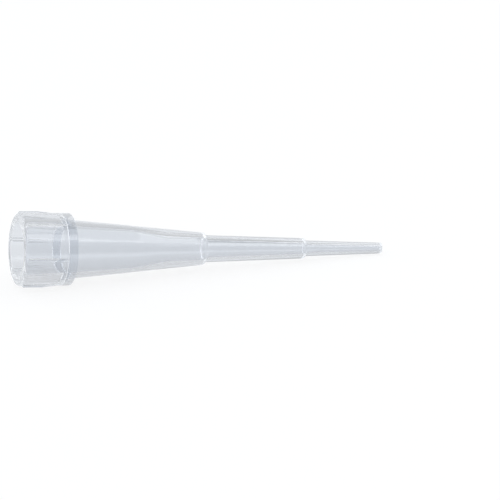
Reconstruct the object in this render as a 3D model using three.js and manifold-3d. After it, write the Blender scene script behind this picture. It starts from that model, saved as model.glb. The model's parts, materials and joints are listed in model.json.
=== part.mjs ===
// A 10 microlitre pipette tip, lying on its side as it comes to rest.
//
// It is one moulding in natural polypropylene: a ribbed collar with a tapered seat for the
// pipette's cone, a tapered barrel that rises out of a groove in the collar's end, and two
// finer sections that step down to the outlet.
// Its outline is drawn as radius against distance from the rim and revolved, six ribs are
// joined to the collar, and the tip is laid down: +X runs from the rim to the outlet, +Z is up.
// All sizes are in millimetres.

import * as THREE from "three";
import { ConvexGeometry } from "three/addons/geometries/ConvexGeometry.js";
import { mergeVertices } from "three/addons/utils/BufferGeometryUtils.js";
import Module from "manifold-3d";

// Overall
const TIP_LENGTH = 31.5;
const COLLAR_RADIUS = 3;

// Collar, with the flat rim round its mouth
const COLLAR_LENGTH = 4.45;
const COLLAR_DRAFT = 0.02; // radius lost from the rim to the lip
const RIM_WIDTH = 0.82;
const RIM_ROUND = 0.25;
const MOUTH_ROUND = 0.08;

// Lip at the collar's end, and the groove between it and the barrel
const LIP_WIDTH = 0.26;
const LIP_ROUND = 0.22;
const LIP_INNER_ROUND = 0.04;
const GROOVE_DEPTH = 0.77;
const GROOVE_WIDTH = 0.2; // at its bottom
const GROOVE_ROUND = 0.1;

// Ribs along the collar
const RIB_COUNT = 6;
const RIB_HEIGHT = 0.2;
const RIB_WIDTH = 0.36; // at its root
const RIB_LEAD_IN = 0.35; // from the rim to where it reaches full height
const RIB_RUN_OUT = 2.35; // from full height down into the lip
const RIB_ROOT = 0.05; // buried in the collar's wall

// Seat: the tapered bore that grips the pipette's cone
const SEAT_LENGTH = 9.6;
const SEAT_TAPER = 0.06; // radius lost per millimetre

// Upper barrel, round the seat, from the bottom of the groove
const UPPER_LENGTH = 5.72;
const UPPER_TOP_WALL = 0.537;
const UPPER_END_WALL = 0.355;

// Lower barrel, round the funnel that leads from the seat to the fine bore
const LOWER_LENGTH = 6.53;
const LOWER_TOP_DROP = 0.06; // the small step in radius below the upper barrel
const LOWER_TOP_CHAMFER = 0.45; // its length
const LOWER_END_WALL = 0.39;
const LOWER_END_BORE = 0.95;
const FUNNEL_LENGTH = 3;
const FUNNEL_END_BORE = 1.1;

// Middle section
const MIDDLE_LENGTH = 8.77;
const MIDDLE_TOP_BORE = 0.72;
const MIDDLE_TOP_WALL = 0.41;
const MIDDLE_END_BORE = 0.47;
const MIDDLE_END_WALL = 0.38;

// Point, which takes up the rest of the length
const POINT_TOP_BORE = 0.36;
const POINT_TOP_WALL = 0.3;
const OUTLET_BORE = 0.22;
const OUTLET_WALL = 0.23;
const OUTLET_ROUND = 0.08;

// Steps between the lower barrel, the middle section and the point
const STEP_LENGTH = 0.06; // of the outside, from one radius to the next
const STEP_ROUND = 0.1;
const STEP_FOOT_ROUND = 0.08;
const BORE_STEP_LENGTH = 0.5;

// Facets
const FACETS_ROUND = 88;
const ARC_STEP = THREE.MathUtils.degToRad(22.5);
const RIB_ARCH_STEPS = 6;

const wasm = await Module();
wasm.setup();

/** A corner of the outline, with the radius that rounds it. */
function corner(radius, distance, round = 0) {
  return { place: new THREE.Vector2(radius, distance), round };
}

/** The points that stand for one corner between its neighbours: an arc, or the corner itself. */
function roundCorner(before, { place, round }, after) {
  if (round === 0) return [place];
  const toBefore = before.clone().sub(place);
  const toAfter = after.clone().sub(place);
  const room = Math.min(toBefore.length(), toAfter.length()) / 2;
  toBefore.normalize();
  toAfter.normalize();
  const halfAngle = Math.acos(toBefore.dot(toAfter)) / 2;
  const radius = Math.min(round, room * Math.tan(halfAngle));
  const start = place.clone().addScaledVector(toBefore, radius / Math.tan(halfAngle));
  const toCentre = toBefore.clone().add(toAfter).normalize();
  const centre = place.clone().addScaledVector(toCentre, radius / Math.sin(halfAngle));
  const turn = Math.sign(toAfter.cross(toBefore)) * (Math.PI - 2 * halfAngle);
  const steps = Math.ceil(Math.abs(turn) / ARC_STEP);
  return Array.from({ length: steps + 1 }, (_, step) =>
    start.clone().rotateAround(centre, (turn * step) / steps),
  );
}

/** The closed outline through all the corners, with each one rounded. */
function roundedOutline(corners) {
  return corners.flatMap((current, index) => {
    const before = corners.at(index - 1).place;
    const after = corners[(index + 1) % corners.length].place;
    return roundCorner(before, current, after);
  });
}

/** Radius of the seat's bore at a distance from the rim. */
function seatRadius(distance) {
  return COLLAR_RADIUS - RIM_WIDTH - SEAT_TAPER * distance;
}

/** Radius of the collar's outside at a distance from the rim. */
function collarRadius(distance) {
  return COLLAR_RADIUS - (COLLAR_DRAFT * distance) / COLLAR_LENGTH;
}

/** Corners of half the tip's section: down the outside from the rim, then back up the bore. */
function tipCorners() {
  const grooveBottom = COLLAR_LENGTH - GROOVE_DEPTH;
  const upperEnd = grooveBottom + UPPER_LENGTH;
  const lowerTop = upperEnd + LOWER_TOP_CHAMFER;
  const lowerEnd = upperEnd + LOWER_LENGTH;
  const middleEnd = lowerEnd + MIDDLE_LENGTH;
  const lipRadius = collarRadius(COLLAR_LENGTH);
  const upperTopRadius = seatRadius(grooveBottom) + UPPER_TOP_WALL;
  const upperEndRadius = seatRadius(upperEnd) + UPPER_END_WALL;
  const outside = [
    corner(seatRadius(0), 0, MOUTH_ROUND),
    corner(collarRadius(0), 0, RIM_ROUND),
    corner(lipRadius, COLLAR_LENGTH, LIP_ROUND),
    corner(lipRadius - LIP_WIDTH, COLLAR_LENGTH, LIP_INNER_ROUND),
    corner(upperTopRadius + GROOVE_WIDTH, grooveBottom, GROOVE_ROUND),
    corner(upperTopRadius, grooveBottom, GROOVE_ROUND),
    corner(upperEndRadius, upperEnd),
    corner(upperEndRadius - LOWER_TOP_DROP, lowerTop),
    corner(LOWER_END_BORE + LOWER_END_WALL, lowerEnd, STEP_ROUND),
    corner(MIDDLE_TOP_BORE + MIDDLE_TOP_WALL, lowerEnd + STEP_LENGTH, STEP_FOOT_ROUND),
    corner(MIDDLE_END_BORE + MIDDLE_END_WALL, middleEnd, STEP_ROUND),
    corner(POINT_TOP_BORE + POINT_TOP_WALL, middleEnd + STEP_LENGTH, STEP_FOOT_ROUND),
    corner(OUTLET_BORE + OUTLET_WALL, TIP_LENGTH, OUTLET_ROUND),
  ];
  const bore = [
    corner(OUTLET_BORE, TIP_LENGTH),
    corner(POINT_TOP_BORE, middleEnd + BORE_STEP_LENGTH / 2),
    corner(MIDDLE_END_BORE, middleEnd - BORE_STEP_LENGTH / 2),
    corner(MIDDLE_TOP_BORE, lowerEnd + BORE_STEP_LENGTH / 2),
    corner(LOWER_END_BORE, lowerEnd - BORE_STEP_LENGTH / 2),
    corner(FUNNEL_END_BORE, SEAT_LENGTH + FUNNEL_LENGTH),
    corner(seatRadius(SEAT_LENGTH), SEAT_LENGTH),
  ];
  return [...outside, ...bore];
}

/** A closed three.js geometry as a solid that can be joined to others. */
function solidOf(geometry) {
  const bare = geometry.clone();
  bare.deleteAttribute("normal");
  bare.deleteAttribute("uv");
  const merged = mergeVertices(bare);
  const vertProperties = new Float32Array(merged.getAttribute("position").array);
  const triVerts = new Uint32Array(merged.getIndex().array);
  return new wasm.Manifold(new wasm.Mesh({ numProp: 3, vertProperties, triVerts }));
}

/** A solid as a three.js geometry, with a normal for each facet. */
function geometryOf(solid) {
  const { vertProperties, triVerts } = solid.getMesh();
  const geometry = new THREE.BufferGeometry();
  geometry.setAttribute("position", new THREE.BufferAttribute(vertProperties, 3));
  geometry.setIndex(new THREE.BufferAttribute(triVerts, 1));
  const faceted = geometry.toNonIndexed();
  faceted.computeVertexNormals();
  return faceted;
}

/** The revolved tip without ribs, standing along +Y. */
function revolvedBody(outline) {
  return solidOf(new THREE.LatheGeometry([...outline, outline[0]], FACETS_ROUND));
}

/** Points across a rib at a distance from the rim: an arch of a height above its buried root. */
function ribArch(distance, height) {
  const root = collarRadius(distance) - RIB_ROOT;
  return Array.from({ length: RIB_ARCH_STEPS + 1 }, (_, step) => {
    const angle = (Math.PI * step) / RIB_ARCH_STEPS;
    const across = (RIB_WIDTH / 2) * Math.cos(angle);
    return new THREE.Vector3(root + height * Math.sin(angle), distance, across);
  });
}

/** One rib, on the +X side of the collar: a ridge that rises behind the rim and runs out. */
function collarRib() {
  const end = COLLAR_LENGTH - LIP_ROUND;
  return new ConvexGeometry([
    ...ribArch(RIM_ROUND / 2, 0),
    ...ribArch(RIB_LEAD_IN, RIB_ROOT + RIB_HEIGHT),
    ...ribArch(end - RIB_RUN_OUT, RIB_ROOT + RIB_HEIGHT),
    ...ribArch(end, 0),
  ]);
}

/** The body with its ribs joined on, the first of them half a pitch from straight down. */
function ribbedTip(outline) {
  const pitch = (2 * Math.PI) / RIB_COUNT;
  let tip = revolvedBody(outline);
  for (let index = 0; index < RIB_COUNT; index += 1) {
    const rib = collarRib().rotateY(Math.PI / 2 + (index + 0.5) * pitch);
    tip = tip.add(solidOf(rib));
  }
  return geometryOf(tip);
}

/** Tilt of the line that the tip rests on: the longest edge of its outline's convex hull. */
function restingTilt(outline) {
  const hull = [];
  for (const point of [...outline].sort((a, b) => a.y - b.y)) {
    while (hull.length > 1 && !bulges(hull.at(-2), hull.at(-1), point)) hull.pop();
    hull.push(point);
  }
  const edges = hull.slice(1).map((end, index) => end.clone().sub(hull[index]));
  const longest = edges.reduce((best, edge) => (edge.length() > best.length() ? edge : best));
  return Math.atan2(-longest.x, longest.y);
}

/** Whether the middle point lies outside the line between its neighbours. */
function bulges(before, middle, after) {
  return middle.clone().sub(before).cross(after.clone().sub(before)) > 0;
}

const outline = roundedOutline(tipCorners());
const polypropylene = new THREE.MeshStandardMaterial({
  name: "polypropylene",
  color: 0xe3eaf0,
  roughness: 0.25,
  metalness: 0,
});
const pipetteTip = new THREE.Mesh(ribbedTip(outline), polypropylene);
pipetteTip.name = "pipette_tip";
pipetteTip.rotation.set(0, restingTilt(outline), -Math.PI / 2);

// The origin is under the middle of the tip, on the surface it lies on.
const laid = new THREE.Group();
laid.add(pipetteTip);
const extent = new THREE.Box3().setFromObject(laid, true);
const middle = extent.getCenter(new THREE.Vector3());
laid.position.set(-middle.x, -middle.y, -extent.min.z);

export default laid;
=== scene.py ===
"""A clear 10 microlitre pipette tip, lying on its side on a pale floor under soft studio light.

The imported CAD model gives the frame: where the rim is and which way the tip points. The tip
itself is modelled here again, finer than its CAD solid, so that light bends smoothly in it.
It is drawn in millimetres along +X from its rim, then laid where the CAD solid lies.
"""

import json
import logging
import math
from collections.abc import Callable, Iterator
from contextlib import contextmanager
from dataclasses import dataclass
from enum import Enum
from itertools import pairwise
from typing import Any

import bmesh
import bpy
from mathutils import Matrix, Vector

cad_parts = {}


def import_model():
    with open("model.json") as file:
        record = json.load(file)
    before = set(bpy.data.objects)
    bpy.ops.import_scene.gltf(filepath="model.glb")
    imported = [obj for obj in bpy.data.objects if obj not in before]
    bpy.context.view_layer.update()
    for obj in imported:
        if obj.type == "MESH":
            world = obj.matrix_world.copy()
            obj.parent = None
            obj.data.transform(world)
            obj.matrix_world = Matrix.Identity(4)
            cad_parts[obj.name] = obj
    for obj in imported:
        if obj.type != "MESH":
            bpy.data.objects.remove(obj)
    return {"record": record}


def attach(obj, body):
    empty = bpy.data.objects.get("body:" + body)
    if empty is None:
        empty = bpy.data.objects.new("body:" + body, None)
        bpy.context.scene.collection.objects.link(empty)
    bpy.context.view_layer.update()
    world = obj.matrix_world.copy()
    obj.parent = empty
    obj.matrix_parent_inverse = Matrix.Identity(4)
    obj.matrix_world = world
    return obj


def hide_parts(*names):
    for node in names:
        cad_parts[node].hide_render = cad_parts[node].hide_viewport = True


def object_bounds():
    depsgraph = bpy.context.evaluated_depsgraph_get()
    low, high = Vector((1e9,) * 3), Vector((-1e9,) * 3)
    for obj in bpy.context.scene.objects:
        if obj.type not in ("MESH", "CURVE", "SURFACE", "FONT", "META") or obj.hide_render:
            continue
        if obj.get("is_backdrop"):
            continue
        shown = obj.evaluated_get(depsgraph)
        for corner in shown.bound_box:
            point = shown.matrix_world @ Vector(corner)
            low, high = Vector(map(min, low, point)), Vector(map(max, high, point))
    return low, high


LOG = logging.getLogger("pipette_tip")
MM = 0.001
NODE = "pipette_tip"
BODY = "root"
RIM_MOUNT = "collar_rim"
SAME_PLACE = 1e-4  # mm: nearer than this, two vertices are one
MAX_BOUNCES = 256  # the clear wall leads light along inside it for a long way


class Axis(Enum):
    """The tip's own directions before it is laid down."""

    ALONG = Vector((1, 0, 0))
    UP = Vector((0, 0, 1))


class Ray(Enum):
    """The Light Path outputs that tell which rays look at the floor."""

    CAMERA = "Is Camera Ray"
    GLOSSY = "Is Glossy Ray"
    TRANSMISSION = "Is Transmission Ray"


def linear(colour: str) -> tuple[float, float, float, float]:
    """Turn an sRGB hex colour into a linear one.

    Args:
        colour: The colour as "#RRGGBB".

    Returns:
        Red, green, blue and a full alpha, all linear.
    """
    channels = [int(colour[start : start + 2], 16) / 255 for start in (1, 3, 5)]
    red, green, blue = (
        value / 12.92 if value <= 0.04045 else ((value + 0.055) / 1.055) ** 2.4
        for value in channels
    )
    return red, green, blue, 1.0


def add_node(
    tree: bpy.types.NodeTree,
    kind: str,
    settings: dict[str, Any] | None = None,
    values: dict[str | int, Any] | None = None,
    links: dict[str | int, bpy.types.NodeSocket] | None = None,
) -> bpy.types.Node:
    """Add a node with its settings, its own socket values and its incoming links.

    Args:
        tree: The node tree that gets the node.
        kind: The node's type name, without the "ShaderNode" in front.
        settings: Properties of the node itself.
        values: Constants for its input sockets, by name or index.
        links: Output sockets to link to its input sockets, by name or index.

    Returns:
        The new node.
    """
    node = tree.nodes.new(f"ShaderNode{kind}")
    for name, value in (settings or {}).items():
        setattr(node, name, value)
    for socket, value in (values or {}).items():
        node.inputs[socket].default_value = value
    for socket, source in (links or {}).items():
        tree.links.new(source, node.inputs[socket])
    return node


def empty_tree(owner: bpy.types.Material | bpy.types.World) -> bpy.types.NodeTree:
    """Switch a material or world to nodes and clear them.

    Args:
        owner: The material or world.

    Returns:
        Its empty node tree.
    """
    owner.use_nodes = True
    owner.node_tree.nodes.clear()
    return owner.node_tree


def deselect_all() -> None:
    """Deselect every object, the CAD nodes too."""
    bpy.ops.object.select_all(action="DESELECT")


def make_active(piece: bpy.types.Object) -> None:
    """Select one object alone and make it the active one.

    Args:
        piece: The object.
    """
    deselect_all()
    piece.select_set(True)
    bpy.context.view_layer.objects.active = piece


@contextmanager
def edit_mode() -> Iterator[None]:
    """Work on the active object in edit mode, then leave it.

    Yields:
        Nothing: what the with statement holds runs in edit mode.
    """
    bpy.ops.object.mode_set(mode="EDIT")
    try:
        yield
    finally:
        bpy.ops.object.mode_set(mode="OBJECT")


def select_vertices(chosen: Callable[[Vector], bool]) -> None:
    """Select, in edit mode, only the vertices whose place passes a test.

    Args:
        chosen: The test of a vertex's place.
    """
    bpy.ops.mesh.select_mode(type="VERT")
    bpy.ops.mesh.select_all(action="DESELECT")
    mesh = bpy.context.active_object.data
    form = bmesh.from_edit_mesh(mesh)
    for vertex in form.verts:
        if chosen(vertex.co):
            vertex.select_set(True)
    form.select_flush(True)
    bmesh.update_edit_mesh(mesh)


def select_edges(chosen: Callable[[Vector, Vector], bool]) -> None:
    """Select, in edit mode, only the edges whose two ends pass a test.

    Args:
        chosen: The test of an edge's two ends.
    """
    bpy.ops.mesh.select_mode(type="EDGE")
    bpy.ops.mesh.select_all(action="DESELECT")
    mesh = bpy.context.active_object.data
    form = bmesh.from_edit_mesh(mesh)
    for edge in form.edges:
        if chosen(*(end.co for end in edge.verts)):
            edge.select_set(True)
    bmesh.update_edit_mesh(mesh)


def apply_modifier(piece: bpy.types.Object, kind: str, **settings: Any) -> None:
    """Add a modifier to the active object and apply it.

    Args:
        piece: The active object.
        kind: The modifier's type.
        **settings: Its properties.
    """
    modifier = piece.modifiers.new(kind.title(), kind)
    for name, value in settings.items():
        setattr(modifier, name, value)
    bpy.ops.object.modifier_apply(modifier=modifier.name)


@dataclass(frozen=True)
class Corner:
    """A corner of the tip's half section.

    Attributes:
        distance: From the rim, in millimetres.
        radius: From the axis, in millimetres.
        rounding: The corner's fillet radius, in millimetres.
    """

    distance: float
    radius: float
    rounding: float = 0.0

    @property
    def place(self) -> Vector:
        """The corner's place in the plane that is drawn in."""
        return Vector((self.distance, 0, self.radius))


@dataclass(frozen=True)
class ClearPolypropylene:
    """Natural polypropylene with a clarifier, injection moulded in polished steel.

    It is clear with a faint grey-blue cast. The polished mould leaves a gloss that lengthwise
    draw marks break up, and the melt leaves slow ripples in the wall.
    """

    tint: str = "#EFF1F4"
    ior: float = 1.49
    transmission: float = 1.0
    gloss_roughness: float = 0.015
    hazy_roughness: float = 0.06
    haze_size: float = 1.6  # mm between hazier patches
    draw_mark_spacing: float = 0.3  # mm round the tip, coarser than the real 0.05 so they show
    draw_mark_stretch: float = 30.0  # a mark's length over its width
    draw_mark_depth: float = 0.0004  # mm
    ripple_size: float = 1.2  # mm between ripples
    ripple_depth: float = 0.006  # mm

    def material(self, place: Matrix) -> bpy.types.Material:
        """Make the material.

        Args:
            place: The matrix that laid the tip down, whose +X is the tip's axis.

        Returns:
            The material, with its patterns running along the tip.
        """
        material = bpy.data.materials.new("clear_moulded_polypropylene")
        tree = empty_tree(material)
        back = place.inverted()
        point = add_node(tree, "TexCoord")
        along = add_node(
            tree,
            "Mapping",
            {"vector_type": "POINT"},
            {"Rotation": back.to_euler(), "Location": back.translation},
            {"Vector": point.outputs["Object"]},
        )
        drawn = add_node(
            tree,
            "Mapping",
            values={"Scale": (1 / self.draw_mark_stretch, 1, 1)},
            links={"Vector": along.outputs["Vector"]},
        )
        marks = add_node(
            tree,
            "TexNoise",
            values={"Scale": 1 / (self.draw_mark_spacing * MM), "Detail": 3.0},
            links={"Vector": drawn.outputs["Vector"]},
        )
        ripples = add_node(
            tree,
            "TexNoise",
            values={"Scale": 1 / (self.ripple_size * MM), "Detail": 1.0},
            links={"Vector": along.outputs["Vector"]},
        )
        haze = add_node(
            tree,
            "TexNoise",
            values={"Scale": 1 / (self.haze_size * MM), "Detail": 2.0},
            links={"Vector": along.outputs["Vector"]},
        )
        roughness = add_node(
            tree,
            "MapRange",
            values={"To Min": self.gloss_roughness, "To Max": self.hazy_roughness},
            links={"Value": haze.outputs["Fac"]},
        )
        wall = add_node(
            tree,
            "Bump",
            values={"Strength": 1.0, "Distance": self.ripple_depth * MM},
            links={"Height": ripples.outputs["Fac"]},
        )
        surface = add_node(
            tree,
            "Bump",
            values={"Strength": 1.0, "Distance": self.draw_mark_depth * MM},
            links={"Height": marks.outputs["Fac"], "Normal": wall.outputs["Normal"]},
        )
        plastic = add_node(
            tree,
            "BsdfPrincipled",
            values={
                "Base Color": linear(self.tint),
                "IOR": self.ior,
                "Transmission Weight": self.transmission,
            },
            links={
                "Roughness": roughness.outputs["Result"],
                "Normal": surface.outputs["Normal"],
            },
        )
        add_node(tree, "OutputMaterial", links={"Surface": plastic.outputs["BSDF"]})
        return material


@dataclass(frozen=True)
class PaintedBoard:
    """A matt painted board: it takes the tip's shadow and reads as white."""

    colour: str = "#DADEE3"
    grain_size: float = 0.8  # mm
    grain_depth: float = 0.01  # mm
    grain_strength: float = 0.1
    white_level: float = 1.08  # strength of the plain white, where 1 is white
    seen_lift: float = 0.8  # share of the plain white where the board is seen directly
    clear_lift: float = 0.55  # share of it where the tip shows or mirrors the board

    def material(self) -> bpy.types.Material:
        """Make the material."""
        material = bpy.data.materials.new("matt_painted_board")
        tree = empty_tree(material)
        point = add_node(tree, "TexCoord")
        grain = add_node(
            tree,
            "TexNoise",
            values={"Scale": 1 / (self.grain_size * MM)},
            links={"Vector": point.outputs["Object"]},
        )
        bump = add_node(
            tree,
            "Bump",
            values={"Strength": self.grain_strength, "Distance": self.grain_depth * MM},
            links={"Height": grain.outputs["Fac"]},
        )
        board = add_node(
            tree,
            "BsdfDiffuse",
            values={"Color": linear(self.colour)},
            links={"Normal": bump.outputs["Normal"]},
        )
        white = add_node(tree, "Emission", values={"Strength": self.white_level})
        path = add_node(tree, "LightPath")
        shares = [
            add_node(
                tree,
                "Math",
                {"operation": "MULTIPLY"},
                values={1: lift},
                links={0: path.outputs[ray.value]},
            ).outputs["Value"]
            for ray, lift in (
                (Ray.CAMERA, self.seen_lift),
                (Ray.GLOSSY, self.clear_lift),
                (Ray.TRANSMISSION, self.clear_lift),
            )
        ]
        seen = shares[0]
        for share in shares[1:]:
            largest = add_node(tree, "Math", {"operation": "MAXIMUM"}, links={0: seen, 1: share})
            seen = largest.outputs["Value"]
        mixed = add_node(
            tree,
            "MixShader",
            links={
                "Fac": seen,
                1: board.outputs["BSDF"],
                2: white.outputs["Emission"],
            },
        )
        add_node(tree, "OutputMaterial", links={"Surface": mixed.outputs["Shader"]})
        return material


@dataclass(frozen=True)
class HalfSection:
    """The tip's closed half section, without its ribs.

    All sizes are in millimetres, and distances run from the rim unless a comment says
    otherwise. A wall is measured outwards from the bore beside it.
    """

    length: float = 31.5
    collar_radius: float = 3.0
    collar_length: float = 4.45
    collar_draft: float = 0.02  # what the collar's radius loses over its length
    rim_width: float = 0.82
    rim_round: float = 0.25
    mouth_round: float = 0.08
    lip_width: float = 0.26
    lip_round: float = 0.22
    lip_inner_round: float = 0.04
    groove_depth: float = 0.77  # from the lip, back towards the rim
    groove_width: float = 0.2
    groove_round: float = 0.1
    seat_length: float = 9.6
    seat_taper: float = 0.06  # what the seat's radius loses in each millimetre
    upper_length: float = 5.72  # from the groove's bottom
    upper_top_wall: float = 0.537
    upper_end_wall: float = 0.355
    lower_length: float = 6.53  # from the upper barrel's end
    lower_top_drop: float = 0.06
    lower_top_chamfer: float = 0.45
    lower_end_wall: float = 0.39
    lower_end_bore: float = 0.95  # each bore is a radius
    funnel_length: float = 3.0  # from the seat's end
    funnel_end_bore: float = 1.1
    middle_length: float = 8.77  # from the lower barrel's end
    middle_top_bore: float = 0.72
    middle_top_wall: float = 0.41
    middle_end_bore: float = 0.47
    middle_end_wall: float = 0.38
    point_top_bore: float = 0.36
    point_top_wall: float = 0.3
    outlet_bore: float = 0.22
    outlet_wall: float = 0.23
    outlet_round: float = 0.08
    step_length: float = 0.06
    step_round: float = 0.14  # softer than the CAD solid's 0.1, so that the edge shows
    step_foot_round: float = 0.08
    bore_step_length: float = 0.5  # half of it on each side of the outer step
    round_steps: int = 6

    def seat_radius(self, distance: float) -> float:
        """Radius of the tapered seat's bore at a distance from the rim."""
        return self.collar_radius - self.rim_width - self.seat_taper * distance

    def collar_outside(self, distance: float) -> float:
        """Radius of the collar's outside at a distance from the rim."""
        return self.collar_radius - self.collar_draft * distance / self.collar_length

    def corners(self) -> list[Corner]:
        """List the half section's corners.

        Returns:
            The outside from the rim to the outlet, then the bore back up to the rim.
        """
        groove_bottom = self.collar_length - self.groove_depth
        upper_end = groove_bottom + self.upper_length
        lower_top = upper_end + self.lower_top_chamfer
        lower_end = upper_end + self.lower_length
        middle_end = lower_end + self.middle_length
        lip_radius = self.collar_outside(self.collar_length)
        upper_top_radius = self.seat_radius(groove_bottom) + self.upper_top_wall
        upper_end_radius = self.seat_radius(upper_end) + self.upper_end_wall
        half_step = self.bore_step_length / 2
        outside = [
            Corner(0, self.seat_radius(0), self.mouth_round),
            Corner(0, self.collar_outside(0), self.rim_round),
            Corner(self.collar_length, lip_radius, self.lip_round),
            Corner(self.collar_length, lip_radius - self.lip_width, self.lip_inner_round),
            Corner(groove_bottom, upper_top_radius + self.groove_width, self.groove_round),
            Corner(groove_bottom, upper_top_radius, self.groove_round),
            Corner(upper_end, upper_end_radius),
            Corner(lower_top, upper_end_radius - self.lower_top_drop),
            Corner(lower_end, self.lower_end_bore + self.lower_end_wall, self.step_round),
            Corner(
                lower_end + self.step_length,
                self.middle_top_bore + self.middle_top_wall,
                self.step_foot_round,
            ),
            Corner(middle_end, self.middle_end_bore + self.middle_end_wall, self.step_round),
            Corner(
                middle_end + self.step_length,
                self.point_top_bore + self.point_top_wall,
                self.step_foot_round,
            ),
            Corner(self.length, self.outlet_bore + self.outlet_wall, self.outlet_round),
        ]
        bore = [
            Corner(self.length, self.outlet_bore),
            Corner(middle_end + half_step, self.point_top_bore),
            Corner(middle_end - half_step, self.middle_end_bore),
            Corner(lower_end + half_step, self.middle_top_bore),
            Corner(lower_end - half_step, self.lower_end_bore),
            Corner(self.seat_length + self.funnel_length, self.funnel_end_bore),
            Corner(self.seat_length, self.seat_radius(self.seat_length)),
        ]
        return outside + bore

    def draw(self, name: str) -> bpy.types.Object:
        """Draw the section by extruding one vertex from corner to corner.

        Args:
            name: The new object's name.

        Returns:
            The section, as a loop of edges above the axis, with its corners rounded.
        """
        corners = self.corners()
        deselect_all()
        bpy.ops.mesh.primitive_plane_add(size=1, location=(0, 0, 0))
        section = bpy.context.active_object
        section.name = name
        with edit_mode():
            bpy.ops.mesh.merge(type="CENTER")
            bpy.ops.transform.translate(value=corners[0].place)
            for start, end in pairwise(corners):
                bpy.ops.mesh.extrude_region_move(
                    TRANSFORM_OT_translate={"value": end.place - start.place}
                )
            ends = (corners[0].place, corners[-1].place)
            select_vertices(lambda place: any(self.same(place, end) for end in ends))
            bpy.ops.mesh.edge_face_add()
            for index, corner in enumerate(corners):
                if corner.rounding:
                    following = corners[(index + 1) % len(corners)]
                    self.round_corner(corners[index - 1], corner, following)
        return section

    def round_corner(self, before: Corner, corner: Corner, after: Corner) -> None:
        """Round one corner of the section in edit mode.

        Args:
            before: The corner before it.
            corner: The corner to round.
            after: The corner after it.
        """
        legs = (before.place - corner.place, after.place - corner.place)
        half_angle = legs[0].angle(legs[1]) / 2
        room = min(leg.length for leg in legs) / 2
        select_vertices(lambda place: self.same(place, corner.place))
        bpy.ops.mesh.bevel(
            offset=min(corner.rounding / math.tan(half_angle), room),
            segments=self.round_steps,
            profile=0.5,
            affect="VERTICES",
            clamp_overlap=True,
        )

    @staticmethod
    def same(place: Vector, other: Vector) -> bool:
        """Whether two places are one."""
        return (place - other).length < SAME_PLACE


@dataclass(frozen=True)
class Ribs:
    """The ridges that stand on the collar and run along it, in millimetres."""

    count: int = 6
    height: float = 0.2
    width: float = 0.36
    lead_in: float = 0.35  # where a rib has come up to its height
    run_out: float = 2.35  # how long it sinks back into the collar
    root: float = 0.05  # how deep its two ends lie in the wall
    foot: float = 0.15  # how deep its underside lies in the wall
    arch: float = 0.46  # the part of the width that each rounded shoulder takes
    arch_steps: int = 6

    def shape_rib(self, section: HalfSection) -> bpy.types.Object:
        """Shape one rib on top of the collar: an arched ridge that dives in at both ends.

        Args:
            section: The half section that the rib stands on.

        Returns:
            The rib, with its foot buried in the collar's wall.
        """
        start = section.rim_round / 2
        end = section.collar_length - section.lip_round
        run_out = end - self.run_out
        top = section.collar_outside(run_out) + self.height
        foot = section.collar_outside(end) - self.foot
        deselect_all()
        bpy.ops.mesh.primitive_cube_add(
            size=1, location=((start + end) / 2, 0, (top + foot) / 2)
        )
        rib = bpy.context.active_object
        bpy.ops.transform.resize(value=(end - start, self.width, top - foot))
        bpy.ops.object.transform_apply(location=True, rotation=True, scale=True)
        with edit_mode():
            for station in (self.lead_in, run_out):
                bpy.ops.mesh.select_all(action="SELECT")
                bpy.ops.mesh.bisect(plane_co=(station, 0, 0), plane_no=Axis.ALONG.value)
            for station in (start, end):
                select_vertices(
                    lambda place, at=station: abs(place.x - at) < SAME_PLACE
                    and place.z > foot + SAME_PLACE
                )
                sunk = section.collar_outside(station) - self.root - top
                bpy.ops.transform.translate(value=(0, 0, sunk))
            select_edges(self.shoulder_test(foot))
            bpy.ops.mesh.bevel(
                offset=self.width * self.arch,
                segments=self.arch_steps,
                profile=0.5,
                affect="EDGES",
            )
        return rib

    @staticmethod
    def shoulder_test(foot: float) -> Callable[[Vector, Vector], bool]:
        """Make the test for the rib's two long upper edges.

        Args:
            foot: The height of the rib's underside.

        Returns:
            The test of an edge's two ends.
        """

        def is_shoulder(first: Vector, second: Vector) -> bool:
            """Whether an edge runs along the rib above its underside."""
            runs_along = abs(first.x - second.x) > SAME_PLACE
            keeps_side = abs(first.y - second.y) < SAME_PLACE
            is_above = min(first.z, second.z) > foot + SAME_PLACE
            return runs_along and keeps_side and is_above

        return is_shoulder

    def build(self, section: HalfSection) -> bpy.types.Object:
        """Copy one rib round the collar and join the copies into one object.

        Args:
            section: The half section that the ribs stand on.

        Returns:
            All the ribs, none of them straight down.
        """
        rib = self.shape_rib(section)
        pitch = math.tau / self.count
        ribs = []
        for index in range(self.count):
            make_active(rib)
            bpy.ops.object.duplicate(linked=False)
            copy = bpy.context.active_object
            copy.rotation_euler.x = math.pi + (index + 0.5) * pitch
            bpy.ops.object.transform_apply(location=True, rotation=True, scale=True)
            ribs.append(copy)
        bpy.data.objects.remove(rib)
        make_active(ribs[0])
        for copy in ribs:
            copy.select_set(True)
        bpy.ops.object.join()
        return bpy.context.active_object


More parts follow.
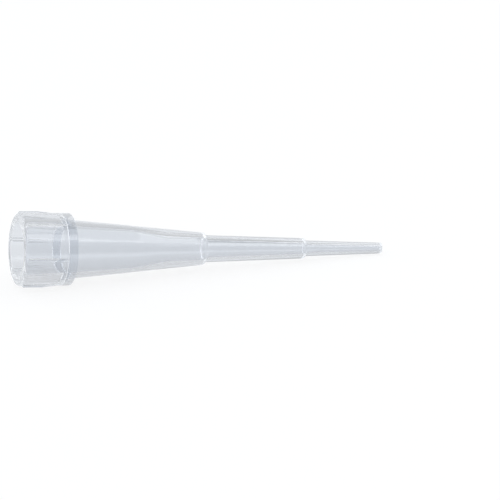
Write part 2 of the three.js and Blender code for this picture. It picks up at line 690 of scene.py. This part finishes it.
@dataclass(frozen=True)
class PipetteTip:
    """The tip as one moulding: the half section spun round the axis, with its ribs."""

    section: HalfSection = HalfSection()
    ribs: Ribs = Ribs()
    spin_steps: int = 256
    smooth_angle: float = 40.0  # degrees: an edge flatter than this is shaded smooth
    mount_radius: float = 2.45  # mm from the axis up to the rim mount
    finish: ClearPolypropylene = ClearPolypropylene()

    def spin_body(self) -> bpy.types.Object:
        """Spin the section round the axis.

        Returns:
            The closed body without its ribs.
        """
        body = self.section.draw(NODE + "_visual")
        make_active(body)
        with edit_mode():
            bpy.ops.mesh.select_all(action="SELECT")
            bpy.ops.mesh.spin(
                steps=self.spin_steps,
                angle=math.tau,
                center=(0, 0, 0),
                axis=Axis.ALONG.value,
            )
            bpy.ops.mesh.select_all(action="SELECT")
            bpy.ops.mesh.remove_doubles(threshold=SAME_PLACE)
            bpy.ops.mesh.normals_make_consistent(inside=False)
        return body

    def add_ribs(self, body: bpy.types.Object) -> None:
        """Fuse the ribs to the body.

        Args:
            body: The spun body.
        """
        ribs = self.ribs.build(self.section)
        make_active(body)
        apply_modifier(body, "BOOLEAN", operation="UNION", solver="EXACT", object=ribs)
        bpy.data.objects.remove(ribs)

    def resting_matrix(self, record: dict[str, Any]) -> Matrix:
        """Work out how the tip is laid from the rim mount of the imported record.

        Args:
            record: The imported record.

        Returns:
            The matrix from the tip's own millimetres to its place in metres.
        """
        mount = next(each for each in record["mounts"] if each["name"] == RIM_MOUNT)
        facing = Vector(mount["axis"])
        tilt = math.atan2(facing.z, -facing.x)
        turn = Matrix.Rotation(tilt, 4, "Y")
        upwards = turn @ Axis.UP.value
        centre = Vector(mount["pos_m"]) - upwards * self.mount_radius * MM
        return Matrix.Translation(centre) @ turn @ Matrix.Scale(MM, 4)

    def build(self, record: dict[str, Any]) -> bpy.types.Object:
        """Build the tip, lay it down, dress it and give it to the frame.

        Args:
            record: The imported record.

        Returns:
            The finished piece.
        """
        body = self.spin_body()
        self.add_ribs(body)
        place = self.resting_matrix(record)
        make_active(body)
        bpy.ops.object.shade_smooth_by_angle(angle=math.radians(self.smooth_angle))
        apply_modifier(body, "WEIGHTED_NORMAL", keep_sharp=True, weight=100)
        body.matrix_world = place
        bpy.ops.object.transform_apply(location=True, rotation=True, scale=True)
        body.data.materials.clear()
        body.data.materials.append(self.finish.material(place.normalized()))
        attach(body, BODY)
        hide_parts(NODE)
        return body


@dataclass(frozen=True)
class Softbox:
    """One soft area lamp.

    Attributes:
        name: The lamp's name.
        place: Where it hangs from its target, in metres.
        size: Its width and height, in metres.
        power: In watts.
    """

    name: str
    place: tuple[float, float, float]
    size: tuple[float, float]
    power: float

    def build(self, target: Vector) -> None:
        """Hang the lamp, facing a target.

        Args:
            target: What it lights.
        """
        lamp = bpy.data.lights.new(self.name, "AREA")
        lamp.shape = "RECTANGLE"
        lamp.size, lamp.size_y = self.size
        lamp.energy = self.power
        holder = bpy.data.objects.new(self.name, lamp)
        holder.location = target + Vector(self.place)
        holder.rotation_euler = (-Vector(self.place)).to_track_quat("-Z", "Y").to_euler()
        bpy.context.scene.collection.objects.link(holder)


@dataclass(frozen=True)
class Studio:
    """The floor, the surroundings and the lamps."""

    floor_size: float = 1.0  # m
    floor_finish: PaintedBoard = PaintedBoard()
    surround: str = "#F6F8FA"
    surround_level: float = 0.38  # strength from the right and from in front
    left_level: float = 1.4  # added towards the left
    back_level: float = 0.42  # added towards the back
    softboxes: tuple[Softbox, ...] = (
        Softbox("front_top_softbox", (0, -0.252, 0.373), (0.5, 0.16), 0.3),
        Softbox("right_softbox", (0.289, 0, 0.345), (0.6, 0.2), 0.55),
    )

    def build(self, target: Vector) -> None:
        """Build the studio round a target.

        Args:
            target: The middle of the object.
        """
        self.lay_floor()
        self.surround_with_light()
        for softbox in self.softboxes:
            softbox.build(target)

    def lay_floor(self) -> None:
        """Lay the floor that the tip rests on."""
        deselect_all()
        bpy.ops.mesh.primitive_plane_add(size=self.floor_size)
        floor = bpy.context.active_object
        floor.name = "studio_floor"
        with edit_mode():
            bpy.ops.mesh.select_all(action="SELECT")
            bpy.ops.mesh.subdivide(number_cuts=3)
        floor.data.materials.append(self.floor_finish.material())
        floor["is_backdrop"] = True

    def surround_with_light(self) -> None:
        """Light everything softly from all round, most from the left and from behind."""
        world = bpy.data.worlds.new("soft_surround")
        bpy.context.scene.world = world
        tree = empty_tree(world)
        direction = add_node(tree, "TexCoord")
        parts = add_node(tree, "SeparateXYZ", links={"Vector": direction.outputs["Generated"]})
        left = add_node(
            tree,
            "MapRange",
            values={
                "From Min": 0.0,
                "From Max": -1.0,
                "To Min": self.surround_level,
                "To Max": self.surround_level + self.left_level,
            },
            links={"Value": parts.outputs["X"]},
        )
        back = add_node(
            tree,
            "MapRange",
            values={"From Min": 0.0, "To Max": self.back_level},
            links={"Value": parts.outputs["Y"]},
        )
        level = add_node(
            tree,
            "Math",
            {"operation": "ADD"},
            links={0: left.outputs["Result"], 1: back.outputs["Result"]},
        )
        light = add_node(
            tree,
            "Background",
            values={"Color": linear(self.surround)},
            links={"Strength": level.outputs["Value"]},
        )
        add_node(tree, "OutputWorld", links={"Surface": light.outputs["Background"]})


@dataclass(frozen=True)
class Camera:
    """The camera, looking down on the tip from in front and to the left."""

    azimuth: float = -16.6  # degrees to the right of straight in front
    elevation: float = 18.8  # degrees above the floor
    lens: float = 350.0  # mm
    sensor: float = 36.0  # mm
    view_width: float = 41.4  # mm across the frame at the tip
    aim_right: float = 4.165  # mm to the right of the box's middle
    aim_up: float = -1.29  # mm above it
    clip: tuple[float, float] = (0.01, 10.0)  # m, nearest and farthest

    def build(self, middle: Vector) -> None:
        """Place the camera.

        Args:
            middle: The middle of the object's box.
        """
        azimuth, elevation = math.radians(self.azimuth), math.radians(self.elevation)
        level = math.cos(elevation)
        back = Vector(
            (math.sin(azimuth) * level, -math.cos(azimuth) * level, math.sin(elevation))
        )
        right = Vector((math.cos(azimuth), math.sin(azimuth), 0))
        upwards = back.cross(right)
        aim = middle + (right * self.aim_right + upwards * self.aim_up) * MM
        data = bpy.data.cameras.new("camera")
        data.lens, data.sensor_width = self.lens, self.sensor
        data.clip_start, data.clip_end = self.clip
        camera = bpy.data.objects.new("camera", data)
        camera.location = aim + back * (self.lens / self.sensor * self.view_width * MM)
        camera.rotation_euler = back.to_track_quat("Z", "Y").to_euler()
        bpy.context.scene.collection.objects.link(camera)
        bpy.context.scene.camera = camera


def main() -> None:
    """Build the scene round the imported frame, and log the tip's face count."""
    logging.basicConfig(level=logging.INFO, format="%(name)s: %(message)s")
    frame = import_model()
    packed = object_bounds()
    middle = (packed[0] + packed[1]) / 2
    scene = bpy.context.scene
    scene.view_settings.view_transform = "Standard"
    for limit in ("max_bounces", "glossy_bounces", "transmission_bounces"):
        setattr(scene.cycles, limit, MAX_BOUNCES)
    Camera().build(middle)
    Studio().build(middle)
    tip = PipetteTip().build(frame["record"])
    LOG.info("%s: %d faces", tip.name, len(tip.data.polygons))


if __name__ == "__main__":
    main()
